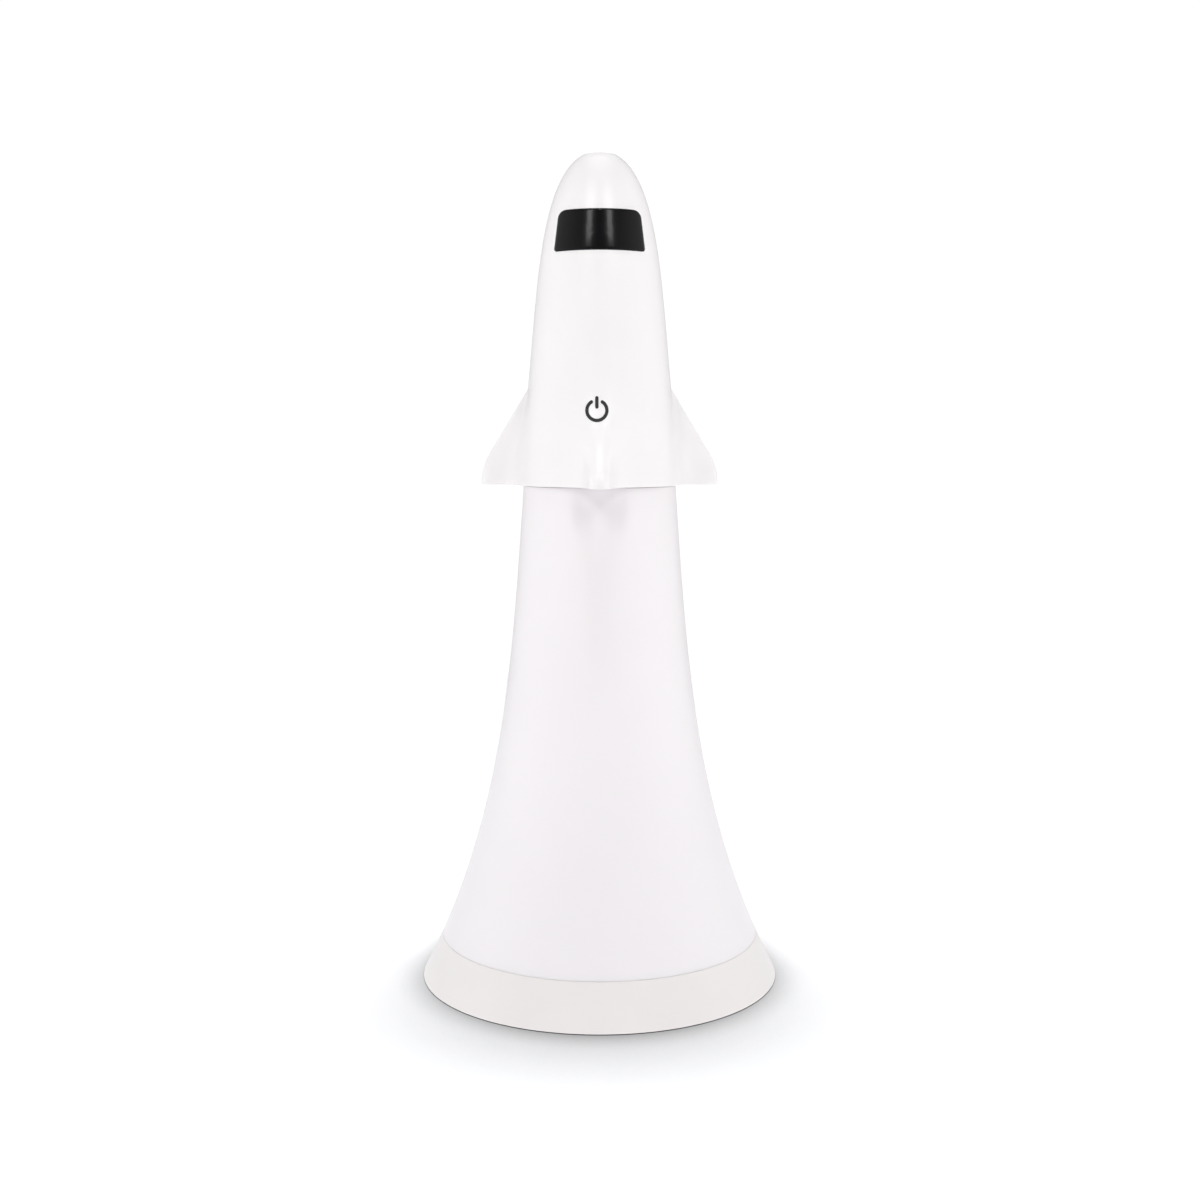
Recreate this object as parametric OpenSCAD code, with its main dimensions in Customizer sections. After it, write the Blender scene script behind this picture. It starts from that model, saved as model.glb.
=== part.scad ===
// Cool mist humidifier: a shuttle-shaped atomizer unit that lifts off a flared, plume-shaped water tank.
// Millimetres, +Z up. The origin is the centre of the standing face, and the front faces -Y.

/* [Overall] */
// Height from the standing surface to the top of the mist outlet
total_h = 207.7; // [206:0.1:210]
// Height of the shuttle's lower edge
skirt_z = 126.2; // [125:0.2:127]
// Height of the joint between the base and the tank
seam_z = 11; // [10:0.5:12]

/* [Tank] */
// Radius that the flared outline reaches at the standing surface
foot_r = 45.8; // [45:0.1:47]
// Radius of the tank just below the shuttle
tank_top_r = 19.2; // [19:0.1:19.6]
// Share of the flare that grows evenly with depth
flare_even = 0.32; // [0.28:0.01:0.36]
// Power of the rest of the flare
flare_power = 3.13; // [2.9:0.01:3.3]
// Wall of the tank
tank_wall = 2; // [1.8:0.1:2.2]
// Inner radius of the filling neck
neck_bore_r = 15.6; // [15.5:0.1:15.7]

/* [Shuttle] */
// Radius that the nose curve springs from
nose_r = 12.75; // [12.6:0.05:12.9]
// Growth of the fuselage radius for each millimetre down
fuselage_taper = 0.09; // [0.088:0.001:0.093]
// Length over which the nose rounds off
nose_len = 50; // [48:1:52]
// Distance from the axis to a wing tip
wing_span = 30.2; // [28:0.2:32]
// Thickness of a wing
wing_t = 4.4; // [4:0.2:5]
// Distance of the wings' middle plane behind the axis
wing_back = 5; // [3:0.5:7]
// Distance from the axis to the tail fin's outer edge
fin_reach = 30; // [28:0.5:31]
// Thickness of the tail fin
fin_t = 4.8; // [4.4:0.2:5.2]
// Inner radius of the mist outlet
outlet_r = 3; // [2.9:0.1:3.1]

/* [Wick] */
// Radius of the cotton wick
wick_r = 4; // [3.6:0.1:4.1]
// Height of the wick tube's closed end above the standing surface
tube_foot_z = 14; // [13:0.5:16]
// Turns of the wick spring
spring_turns = 5; // [4:1:6]

/* [Windshield] */
// Height of the windshield
window_h = 10.2; // [9:0.2:11]
// Half of its width along the lower edge
window_low_w = 11.2; // [10.6:0.1:11.6]
// Half of its width along the upper edge
window_top_w = 10; // [9.4:0.1:10.4]

/* [Hidden] */

$fn = 96;
eps = 0.01;

// Heights that follow the nose
nose_z = total_h + 0.6;             // where the nose curve would close
seat_z = nose_z - 22.3;             // underside of the atomizer cup
disc_z = seat_z + 3.1;              // underside of the mesh plate
window_z = nose_z - 25.4;           // lower edge of the windshield

// Heights that follow the skirt
tank_top_z = skirt_z - 0.3;         // the tank's shoulder, just below the skirt
neck_top_z = skirt_z + 8.3;         // rim of the filling neck
plate_z = skirt_z + 9;              // underside of the bottom plate
plate_t = 2.2;
plate_top_z = plate_z + plate_t;
port_z = skirt_z + 18.8;            // middle of the power socket
icon_z = skirt_z + 18.5;            // middle of the power symbol
board_z = skirt_z + 14.4;           // lower edge of the control board

// Radii shared by pieces that fit each other
neck_r = 17.4;
skirt_bore_r = 17.9;
spigot_r = neck_bore_r - 0.5;
spigot_bore_r = spigot_r - 2;
seal_groove_r = spigot_r - 1.1;
socket_r = 7.2;                     // socket for the wick tube's collar
guide_r = wick_r + 0.6;             // bore that guides the wick
carrier_r = 6;                      // outside of the tube that carries the atomizer
ring_mid_r = 10.95;                 // circle of the screws and the light pegs
screw_angles = [-20, 20, 160, 200];
led_angles = [60, 120, 240, 300];

// Spacing used on the boards
board_y = 9.2;                      // front face of the control board
board_t = 1.2;
board_h = 31.4;
board_w = 17;

// ---------- outlines ----------

// Radius of the flared outline at height z
function flare_r(z) =
    let (u = 1 - z / tank_top_z)
    tank_top_r + (foot_r - tank_top_r) * (flare_even * u + (1 - flare_even) * pow(u, flare_power));

// Radius of the fuselage at a depth below the closed nose
function fuselage_r(depth) =
    let (u = max(0, 1 - depth / nose_len))
    (nose_r + fuselage_taper * depth) * pow(1 - pow(u, 4), 0.413);

// Radius of the hollow inside the fuselage at a depth below the closed nose
function cavity_r(depth) = fuselage_r(depth - 2) - 1.75;

// Fuselage outline between two depths, closer together near the nose; out moves it outwards
function fuselage_side(from, to, steps, out = 0) =
    [for (i = [0:steps])
        let (depth = from + (to - from) * pow(i / steps, 1.6))
        [fuselage_r(depth) + out, nose_z - depth]];

// Flared outline from a low height up to a high one; in moves it inwards
function flare_side(low, high, steps, in = 0) =
    [for (i = [0:steps]) let (z = low + (high - low) * i / steps) [flare_r(z) - in, z]];

function backwards(list) = [for (i = [len(list) - 1:-1:0]) list[i]];
function unit(v) = v / norm(v);

// Points of an arc that rounds the corner at p, between the points before and after it
function round_corner(before, p, after, r, steps = 6) =
    let (a = unit(before - p), b = unit(after - p), half = acos(a * b) / 2)
    let (centre = p + unit(a + b) * r / sin(half))
    let (first = p + a * r / tan(half) - centre, last = p + b * r / tan(half) - centre)
    let (start = atan2(first.y, first.x), turn = atan2(last.y, last.x) - start)
    let (sweep = turn > 180 ? turn - 360 : turn < -180 ? turn + 360 : turn)
    [for (i = [0:steps]) centre + r * [cos(start + sweep * i / steps), sin(start + sweep * i / steps)]];

// A polygon with each corner rounded by its own radius
function rounded(points, radii) =
    [for (i = [0:len(points) - 1])
        each round_corner(points[(i + len(points) - 1) % len(points)], points[i],
            points[(i + 1) % len(points)], radii[i])];

module revolve(points) rotate_extrude() polygon(points);

module ring(r_out, r_in, low, high)
    translate([0, 0, low]) difference() {
        cylinder(r = r_out, h = high - low);
        translate([0, 0, -1]) cylinder(r = r_in, h = high - low + 2);
    }

module block(low, high) translate(low) cube(high - low);

// A slot with round ends, w wide along X and h high along Z, running along Y
module slot_y(w, h, from, to)
    for (part = [0:2])
        if (part < 2)
            translate([(part * 2 - 1) * (w - h) / 2, from, 0]) rotate([-90, 0, 0])
                cylinder(r = h / 2, h = to - from, $fn = 48);
        else
            block([-(w - h) / 2, from, -h / 2], [(w - h) / 2, to, h / 2]);

// A round tube along points, with the given side direction kept off its own line
module tube(points, r, side, sides = 8) {
    n = len(points);
    function ahead(i) = unit(points[min(i + 1, n - 1)] - points[max(i - 1, 0)]);
    vertices = [for (i = [0:n - 1])
        let (t = ahead(i), u = unit(cross(t, side)), v = cross(t, u))
        for (k = [0:sides - 1]) points[i] + r * (cos(360 * k / sides) * u + sin(360 * k / sides) * v)];
    walls = [for (i = [0:n - 2], k = [0:sides - 1])
        let (a = i * sides + k, b = i * sides + (k + 1) % sides)
        each [[a, a + sides, b + sides], [a, b + sides, b]]];
    polyhedron(vertices, concat(walls, [[for (k = [0:sides - 1]) k]],
        [[for (k = [sides - 1:-1:0]) (n - 1) * sides + k]]), convexity = 8);
}

// Points of a helix about +Z, from radius r0 to r1
function helix(r0, r1, height, turns, per_turn = 16) =
    [for (i = [0:turns * per_turn])
        let (share = i / (turns * per_turn), r = r0 + (r1 - r0) * share, a = 360 * i / per_turn)
        [r * cos(a), r * sin(a), height * share]];

// ---------- base and tank ----------

// Weighted dish that closes the tank and continues its flare to the standing surface
module base_cup() color("whitesmoke") revolve(concat(
    [[0, 3], [34.6, 3], [34.6, 0.8], [36, 0.8], [36, 2.4], [41, 2.4], [41, 0.2], [flare_r(0.4) - 0.1, 0.2]],
    flare_side(0.4, seam_z, 8),
    [[38.3, seam_z], [38.3, 5], [0, 5]]));

// Rubber ring that the humidifier stands on
module foot_ring() color("dimgray") ring(40.9, 36.1, 0, 2.4);

// Silicone ring under the tank's spigot
module base_seal() color("lightgray") ring(38.2, 36.7, 5, 6.3);

// Opal water tank with a filling neck
module tank_shell() color("lavender") revolve(concat(
    [[36.6, 6.4], [38.2, 6.4], [38.2, seam_z + 0.2]],
    flare_side(seam_z + 0.2, tank_top_z, 44),
    [[neck_r, tank_top_z], [neck_r, neck_top_z - 0.5], [neck_r - 0.5, neck_top_z]],
    [[neck_bore_r + 0.4, neck_top_z], [neck_bore_r, neck_top_z - 0.4]],
    [[neck_bore_r, tank_top_z - 2.5]],
    backwards(flare_side(14, tank_top_z - 4.5, 30, tank_wall)),
    [[36.6, 13.4]]));

// Silicone ring that grips the neck and turns round the bottom plate's spigot
module neck_seal() color("gainsboro") revolve([
    [seal_groove_r + 0.05, plate_z - 5.0], [neck_bore_r - 0.25, plate_z - 5.0],
    [neck_bore_r - 0.05, plate_z - 4.5], [neck_bore_r - 0.05, plate_z - 3.6],
    [neck_bore_r - 0.25, plate_z - 3.1], [seal_groove_r + 0.05, plate_z - 3.1]]);

// ---------- shuttle shell ----------

// A rounded plate edge that runs from point a to point b and down to the skirt, in the XZ plane
module plate_edge(a, b, r) {
    along = b - a;
    translate([a.x, 0, a.y]) rotate([0, atan2(along.x, along.y), 0])
        cylinder(r = r, h = norm(along), $fn = 48);
    translate([b.x, 0, b.y]) sphere(r = r, $fn = 48);
    translate([b.x, 0, skirt_z]) cylinder(r = r, h = b.y - skirt_z, $fn = 48);
}

// A swept plate in the XZ plane: its rounded edge leaves the hull at a and reaches the tip at b
module swept_plate(a, b, t) {
    plate_edge(a, b, t / 2 + 0.03);
    translate([0, t / 2, 0]) rotate([90, 0, 0]) linear_extrude(t)
        polygon([[10, skirt_z], [b.x, skirt_z], b, a, [10, a.y]]);
}

module wings() {
    tip_x = wing_span - wing_t / 2;
    for (side = [0, 1]) mirror([side, 0, 0]) translate([0, wing_back, 0])
        swept_plate([tip_x - 16, skirt_z + 31], [tip_x, skirt_z + 3.7], wing_t);
}

module tail_fin() {
    tip_x = fin_reach - fin_t / 2;
    rotate([0, 0, -90]) swept_plate([tip_x - 14, skirt_z + 17.2], [tip_x, skirt_z + 3], fin_t);
}

// Everything inside the fuselage wall, with the wider bore of the skirt below the ledge
module hollow() revolve(concat(
    [[0, skirt_z - 1], [skirt_bore_r, skirt_z - 1], [skirt_bore_r, plate_top_z + 0.1]],
    backwards([for (i = [0:30]) let (depth = 4 + (nose_z - plate_top_z - 4.1) * pow(i / 30, 1.5))
        [cavity_r(depth), nose_z - depth]]),
    [[0, nose_z - 4]]));

module fuselage() revolve(concat(
    [[0, skirt_z], [fuselage_r(nose_z - skirt_z) - 0.3, skirt_z]],
    backwards(fuselage_side(0.75, nose_z - skirt_z - 0.3, 44)),
    [[0, nose_z - 0.75]]));

// The windshield's outline in the XZ plane, grown by a margin
module window_outline(grow = 0)
    polygon(rounded([
        [-window_low_w - grow, window_z - grow],
        [window_low_w + grow, window_z - grow],
        [window_top_w + grow, window_z + window_h + grow],
        [-window_top_w - grow, window_z + window_h + grow]],
        [0.7 + grow, 0.7 + grow, 2 + grow, 2 + grow]));

// The part of a band round the fuselage that lies in front of the given outline
module front_band(top_depth, low_depth, inner, outer) intersection() {
    revolve(concat(fuselage_side(top_depth, low_depth, 16, outer),
        backwards(fuselage_side(top_depth, low_depth, 16, inner))));
    translate([0, -5, 0]) rotate([90, 0, 0]) linear_extrude(20) children();
}

module at_screws() for (a = screw_angles) rotate([0, 0, a]) translate([ring_mid_r, 0, 0]) children();

// Posts for the plate screws, each tied to the wall by a rib, and a pad round the power socket
module shell_fixings() intersection() {
    union() {
        at_screws() {
            translate([0, 0, plate_top_z + 0.05]) cylinder(r = 2.2, h = 8.6, $fn = 48);
            block([1.9, -0.7, plate_top_z + 3.6], [8, 0.7, plate_top_z + 8.6]);
        }
        block([-8, 15.2, port_z - 4], [8, 18, port_z + 4]);
    }
    fuselage();
}

// One-piece hull with two wings and a tail fin
module shuttle_shell() color("white") difference() {
    union() {
        difference() {
            union() {
                fuselage();
                wings();
                tail_fin();
            }
            hollow();
        }
        shell_fixings();
    }
    translate([0, 0, nose_z - 8]) cylinder(r = outlet_r + 0.7, h = 10);
    front_band(nose_z - window_z - window_h - 2, nose_z - window_z + 2, -1.3, 2) window_outline(0.1);
    translate([0, 0, port_z]) {
        slot_y(9.6, 3.9, 14, 21);
        slot_y(12.6, 6.8, 17.1, 21);
    }
    at_screws() translate([0, 0, plate_top_z - 1]) cylinder(r = 1.05, h = 8.6, $fn = 32);
}

// Gloss black windshield, a little proud of the hull
module windshield() color("black")
    front_band(nose_z - window_z - window_h - 1, nose_z - window_z + 1, -1.2, 0.3) window_outline();

// The part of a thin skin on the hull that lies in front of the given outline
module icon_skin() {
    low_z = icon_z - 6;
    low_r = fuselage_r(nose_z - low_z);
    top_r = fuselage_r(nose_z - low_z - 12);
    intersection() {
        difference() {
            translate([0, 0, low_z]) cylinder(r1 = low_r + 0.12, r2 = top_r + 0.12, h = 12);
            translate([0, 0, low_z - 0.01]) cylinder(r1 = low_r + eps, r2 = top_r + eps, h = 12.02);
        }
        translate([-0.65, -5, icon_z]) rotate([90, 0, 0]) linear_extrude(20) children();
    }
}

// Points of an arc about c, from angle a0 to a1
function arc(c, r, a0, a1, steps) =
    [for (i = [0:steps]) let (a = a0 + (a1 - a0) * i / steps) c + r * [cos(a), sin(a)]];

// Power symbol printed on the hull over the touch sensor
module power_icon() {
    mid_r = 2.4;
    half = 0.4;
    gap = 33;
    right = 90 - gap;
    left = 90 + gap;
    bar_low = 0.8;
    bar_top = 3;
    color("black") {
        icon_skin() polygon(concat(
            arc([0, 0], mid_r + half, right, left - 360, 32),
            arc(mid_r * [cos(left), sin(left)], half, left, left - 180, 6),
            arc([0, 0], mid_r - half, left - 360, right, 32),
            arc(mid_r * [cos(right), sin(right)], half, right - 180, right - 360, 6)));
        icon_skin() polygon(concat(
            arc([0, bar_low], half, 180, 360, 8), arc([0, bar_top], half, 0, 180, 8)));
    }
}

// ---------- atomizer ----------

// Funnel from the atomizer to the nose; its lip is the rim of the mist outlet
module mist_nozzle() color("white") revolve([
    [6.5, seat_z + 7.5], [9.6, seat_z + 7.5], [9.6, seat_z + 8.6], [8.2, seat_z + 8.9],
    [outlet_r + 0.6, nose_z - 5.5], [outlet_r + 0.6, total_h - 0.2], [outlet_r + 0.4, total_h],
    [outlet_r + 0.1, total_h], [outlet_r, total_h - 0.1], [outlet_r, nose_z - 6.2],
    [6.5, seat_z + 9.4]]);

// Screwed ring that clamps the gasket in the cup
module clamp_ring() color("whitesmoke") difference() {
    ring(8.9, 5.2, seat_z + 5.1, seat_z + 7.2);
    for (a = [0, 180]) rotate([0, 0, a]) block([5, -0.9, seat_z + 6.2], [9.5, 0.9, seat_z + 8]);
}

// Silicone ring whose slot holds the disc by its edge
module disc_gasket() color("lightgray") revolve([
    [5.6, seat_z + 1.6], [8.9, seat_z + 1.6], [8.9, seat_z + 5], [5.6, seat_z + 5],
    [5.6, disc_z + 0.8], [8.05, disc_z + 0.8], [8.05, disc_z - 0.05], [5.6, disc_z - 0.05]]);

// Steel plate with a raised, perforated middle
module mesh_plate() color("silver") revolve([
    [0, disc_z + 0.3], [1.2, disc_z + 0.25], [2.2, disc_z], [8, disc_z], [8, disc_z + 0.2],
    [2.3, disc_z + 0.2], [1.3, disc_z + 0.45], [0, disc_z + 0.5]]);

module piezo_ring() color("wheat") ring(7.4, 3.6, disc_z + 0.2, disc_z + 0.7);

// Tube round the wick, with the atomizer's cup on top and pads for the two boards
module atomizer_carrier() color("white") difference() {
    union() {
        revolve([
            [guide_r, plate_top_z + 0.2], [carrier_r, plate_top_z + 0.2], [carrier_r, seat_z - 2.4],
            [8, seat_z], [10.2, seat_z], [10.2, seat_z + 7.3], [9, seat_z + 7.3], [9, seat_z + 1.5],
            [guide_r, seat_z + 1.5]]);
        for (z = board_screw_zs()) block([-2.2, carrier_r - 1, z - 2.2], [2.2, board_y - 0.05, z + 2.2]);
        block([-2.5, -7.75, icon_z - 3], [2.5, 1 - carrier_r, icon_z + 5]);
    }
    cylinder(r = guide_r, h = 2 * total_h);
    for (z = board_screw_zs()) translate([0, carrier_r, z]) rotate([-90, 0, 0])
        cylinder(r = 1.05, h = 6, $fn = 32);
    block([-1.7, 8.9, seat_z - 1], [1.7, 11, seat_z + 8]);
}

function board_screw_zs() = [board_z + 11, board_z + 21];

// ---------- lower closure of the shuttle ----------

// Plate that closes the shuttle, with a spigot for the neck and sockets for the wick tube and the carrier
module bottom_plate() color("white") difference() {
    union() {
        revolve([
            [guide_r, plate_z], [socket_r, plate_z], [socket_r, plate_z - 5.8], [8.8, plate_z - 5.8],
            [8.8, plate_z], [spigot_bore_r, plate_z], [spigot_bore_r, plate_z - 6.7],
            [spigot_r - 0.4, plate_z - 6.7], [spigot_r, plate_z - 6.2], [spigot_r, plate_z - 5.1],
            [seal_groove_r, plate_z - 5.1], [seal_groove_r, plate_z - 3], [spigot_r, plate_z - 3],
            [spigot_r, plate_z], [17.7, plate_z], [17.7, plate_top_z], [7.6, plate_top_z],
            [7.6, plate_top_z + 3], [carrier_r + 0.1, plate_top_z + 3], [carrier_r + 0.1, plate_top_z],
            [guide_r, plate_top_z]]);
    }
    at_screws() translate([0, 0, plate_z - 1]) cylinder(r = 1.2, h = 5, $fn = 32);
    at_leds() translate([0, 0, plate_z - 1]) cylinder(r = 1.8, h = 5, $fn = 32);
}

module at_leds() for (a = led_angles) rotate([0, 0, a]) translate([ring_mid_r, 0, 0]) children();

// Clear ring whose pegs bring the light through the plate
module light_ring() color("azure") {
    difference() {
        ring(12.9, 9, plate_z - 1.2, plate_z - 0.05);
        at_screws() translate([0, 0, plate_z - 2]) cylinder(r = 1.2, h = 3, $fn = 32);
    }
    at_leds() translate([0, 0, plate_z - 0.1]) cylinder(r = 1.7, h = plate_t, $fn = 32);
}

module leds() color("ivory") at_leds() block([-1.5, -1.5, plate_top_z + 0.2], [1.5, 1.5, plate_top_z + 1.55]);

module led_board() color("white") difference() {
    ring(12.6, 8, plate_top_z + 1.6, plate_top_z + 2.6);
    at_screws() translate([0, 0, plate_top_z]) cylinder(r = 2.5, h = 5, $fn = 32);
}

module pan_screw(length) {
    difference() {
        translate([0, 0, -1.5]) cylinder(r = 1.9, h = 1.5, $fn = 32);
        for (turn = [0, 90]) rotate([0, 0, turn]) block([-1.2, -0.25, -1.6], [1.2, 0.25, -0.8]);
    }
    translate([0, 0, -eps]) cylinder(r = 1, h = length, $fn = 32);
}

module plate_screws() color("silver") at_screws() translate([0, 0, plate_z - 1.2]) pan_screw(9.5);

// ---------- electronics ----------

module control_board() color("seagreen") difference() {
    block([-board_w / 2, board_y, board_z], [board_w / 2, board_y + board_t, board_z + board_h]);
    for (z = board_screw_zs()) translate([0, 0, z]) rotate([-90, 0, 0]) cylinder(r = 1.2, h = 20, $fn = 32);
}

module board_screws() color("silver") for (z = board_screw_zs())
    translate([0, board_y + board_t, z]) rotate([90, 0, 0]) pan_screw(4.4);

// Metal case of the power socket, open to the rear
module usb_shell() color("silver") translate([0, 0, port_z]) difference() {
    slot_y(8.94, 3.16, board_y + board_t + 0.02, 17);
    slot_y(8.34, 2.56, board_y + board_t + 0.9, 18);
}

module usb_tongue() color("black")
    block([-3.3, board_y + board_t + 0.9, port_z - 0.35], [3.3, 16.2, port_z + 0.35]);

module driver_chip() color("dimgray")
    block([-8, board_y - 1.6, board_z + 13], [-3.1, board_y - 0.02, board_z + 17]);

module boost_inductor() color("gray") difference() {
    block([2.6, board_y - 3, board_z + 14], [7.6, board_y - 0.02, board_z + 19]);
    translate([5.1, board_y - 4, board_z + 16.5]) rotate([-90, 0, 0]) cylinder(r = 1.9, h = 1.6, $fn = 48);
}

module capacitors() color("burlywood") for (k = [0:2])
    block([4.2, board_y + board_t + 0.02, board_z + 9 + 4 * k],
        [5.8, board_y + board_t + 1.2, board_z + 12 + 4 * k]);

// Two-pin connector for the leads of the piezo ring
module lead_connector() color("white")
    block([-3, board_y + board_t + 0.02, board_z + 24.5], [3, board_y + board_t + 2.6, board_z + 29]);

lead_top = [[0, 9.35, seat_z + 4.6], [0, 9.6, seat_z + 4.2], [0, 9.7, seat_z + 3], [0, 9.7, seat_z - 3]];
lead_low = [[0, 10.2, board_z + 37], [0, 11.2, board_z + 34], [0, 11.7, board_z + 32],
    [0, 11.7, board_z + 29.05]];
module piezo_leads() color("firebrick") for (x = [-0.9, 0.9]) translate([x, 0, 0])
    tube(concat(lead_top, lead_low), 0.4, [1, 0, 0]);

module sensor_board() color("seagreen") block([-4, -8.8, icon_z - 4.4], [4, -7.8, icon_z + 7]);

// Conical spring between the sensor board and the contact plate
module touch_spring() color("goldenrod") translate([0, -9.1, icon_z]) rotate([90, 0, 0])
    tube(helix(2.2, 3.3, 6.35, 5), 0.25, [0, 0, 1], 6);

module touch_plate() color("goldenrod") translate([0, -15.75, icon_z]) rotate([90, 0, 0])
    cylinder(r = 3.6, h = 0.3, $fn = 48);

module touch_lead() color("dimgray") tube([
    [3, -9.15, icon_z + 6], [4.5, -9.3, icon_z + 6.6], [6.6, -8, icon_z + 7.4], [8.3, -4.6, icon_z + 8.1],
    [8.7, 0, icon_z + 8.4], [8.3, 4, icon_z + 8.2], [7.2, 7, icon_z + 8], [6.9, 8.4, icon_z + 7.9],
    [6.9, 9.15, icon_z + 7.9]], 0.35, [0, 0, 1]);

module led_leads() color("dimgray") for (x = [-7.2, -6.1]) translate([x, 0, 0]) tube([
    [0, 6.8, plate_top_z + 2.65], [0, 6.8, plate_top_z + 3.6], [0, 7, plate_top_z + 5],
    [0, 7.6, plate_top_z + 6.2], [0, 8.4, plate_top_z + 6.8], [0, 9.15, plate_top_z + 7]],
    0.35, [1, 0, 0]);

// ---------- wick ----------

collar_z = plate_z - 5.7;
spring_z = tube_foot_z + 1.5;
spring_h = 8;
slot_rows = 6;

// Tube that holds the wick in the water, with inlet slots and a gripped collar
module wick_tube() color("gainsboro") difference() {
    union() {
        translate([0, 0, tube_foot_z]) cylinder(r = guide_r + 1.2, h = collar_z - tube_foot_z);
        translate([0, 0, collar_z]) cylinder(r = socket_r - 0.1, h = 5.4);
        translate([0, 0, collar_z - 2.7]) cylinder(r = 9.4, h = 2.4);
        for (a = [0:30:330]) rotate([0, 0, a]) translate([9.2, 0, collar_z - 2.7])
            cylinder(r = 0.6, h = 2.4, $fn = 24);
    }
    translate([0, 0, spring_z]) cylinder(r = guide_r, h = total_h);
    for (row = [0:slot_rows - 1], a = [0, 90])
        rotate([0, 0, a + 45 * (row % 2)])
            block([-8, -1.1, spring_z + 4 + 16.5 * row], [8, 1.1, spring_z + 15 + 16.5 * row]);
}

module wick_spring() color("silver") translate([0, 0, spring_z + 0.3])
    tube(helix(3.2, 3.2, spring_h - 0.6, spring_turns), 0.28, [0, 0, 1], 6);

module cotton_wick() color("ivory") translate([0, 0, spring_z + spring_h])
    cylinder(r = wick_r, h = disc_z - 0.05 - spring_z - spring_h);

base_cup();
foot_ring();
base_seal();
tank_shell();
neck_seal();
shuttle_shell();
windshield();
power_icon();
mist_nozzle();
clamp_ring();
disc_gasket();
mesh_plate();
piezo_ring();
atomizer_carrier();
bottom_plate();
light_ring();
leds();
led_board();
plate_screws();
control_board();
board_screws();
usb_shell();
usb_tongue();
driver_chip();
boost_inductor();
capacitors();
lead_connector();
piezo_leads();
sensor_board();
touch_spring();
touch_plate();
touch_lead();
led_leads();
wick_tube();
wick_spring();
cotton_wick();
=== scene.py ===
"""Cool mist humidifier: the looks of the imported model. Metres, +Z up, front towards -Y."""
import math

import bmesh
import bpy
import numpy as np
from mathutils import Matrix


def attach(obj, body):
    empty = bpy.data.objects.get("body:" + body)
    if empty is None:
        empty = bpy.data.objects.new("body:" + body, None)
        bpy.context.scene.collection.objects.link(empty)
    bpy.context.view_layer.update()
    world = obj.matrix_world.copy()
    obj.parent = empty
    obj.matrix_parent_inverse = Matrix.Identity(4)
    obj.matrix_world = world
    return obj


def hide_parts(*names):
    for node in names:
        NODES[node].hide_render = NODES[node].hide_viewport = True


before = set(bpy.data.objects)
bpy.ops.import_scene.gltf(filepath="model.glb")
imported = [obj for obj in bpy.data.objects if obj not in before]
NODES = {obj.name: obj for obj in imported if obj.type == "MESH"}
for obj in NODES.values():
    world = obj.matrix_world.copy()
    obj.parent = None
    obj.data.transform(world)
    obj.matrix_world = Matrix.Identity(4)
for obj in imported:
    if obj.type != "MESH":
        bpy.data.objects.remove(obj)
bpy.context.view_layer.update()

MM = 0.001

# ---------- dimensions, in millimetres, as in the CAD ----------

TOTAL_H = 207.7
NOSE_Z = TOTAL_H + 0.6          # where the nose curve would close
SKIRT_Z = 126.2                 # lower edge of the shuttle
TANK_TOP_Z = SKIRT_Z - 0.3      # shoulder of the tank
SEAM_Z = 11.0                   # joint between base and tank
FOOT_R, TANK_TOP_R = 45.8, 19.2
FLARE_EVEN, FLARE_POWER = 0.32, 3.13
NOSE_R, TAPER, NOSE_LEN = 12.75, 0.09, 50.0
NECK_R, NECK_BORE_R = 17.4, 15.6
NECK_TOP_Z = SKIRT_Z + 8.3
PLATE_Z = SKIRT_Z + 9.0
PLATE_TOP_Z = PLATE_Z + 2.2
PORT_Z = SKIRT_Z + 18.8
ICON_X, ICON_Z = -0.65, SKIRT_Z + 18.5
SEAT_Z = NOSE_Z - 22.3
DISC_Z = SEAT_Z + 3.1
SKIRT_BORE_R = 17.9
SPIGOT_R = NECK_BORE_R - 0.5
SEAL_GROOVE_R = SPIGOT_R - 1.1
GUIDE_R = 4.6
RING_MID_R = 10.95
SCREW_ANGLES = (-20, 20, 160, 200)
LED_ANGLES = (60, 120, 240, 300)
WINDOW_Z = NOSE_Z - 25.4
WINDOW_H = 10.2
WINDOW_LOW_W, WINDOW_TOP_W = 11.2, 10.0
OUTLET_R = 3.0


def flare_r(z):
    """Radius of the flared outline at height z."""
    u = 1 - z / TANK_TOP_Z
    return TANK_TOP_R + (FOOT_R - TANK_TOP_R) * (
        FLARE_EVEN * u + (1 - FLARE_EVEN) * max(u, 0.0) ** FLARE_POWER)


def fuselage_r(depth):
    """Radius of the fuselage at a depth below the closed nose; depth may be an array."""
    u = np.clip(1 - np.asarray(depth, float) / NOSE_LEN, 0, 1)
    return (NOSE_R + TAPER * np.asarray(depth, float)) * (1 - u ** 4) ** 0.413


def cavity_r(depth):
    """Radius of the hollow in the shuttle at a depth below the closed nose."""
    return fuselage_r(depth - 2) - 1.75


# ---------- mesh tools ----------

def clean_mesh(name, verts, faces):
    """A mesh from points in millimetres, with doubled points merged and its normals outwards."""
    mesh = bpy.data.meshes.new(name)
    mesh.from_pydata([tuple(c * MM for c in v) for v in verts], [], faces)
    bm = bmesh.new()
    bm.from_mesh(mesh)
    bmesh.ops.remove_doubles(bm, verts=bm.verts, dist=1e-7)
    bmesh.ops.recalc_face_normals(bm, faces=bm.faces)
    bm.to_mesh(mesh)
    bm.free()
    return mesh


def make_mesh(name, verts, faces, body, slot, material, nodes=(), angle=38):
    """A piece from points in millimetres that rides on a body."""
    return add_piece(name, clean_mesh(name, verts, faces), body, material, nodes, angle)


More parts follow.
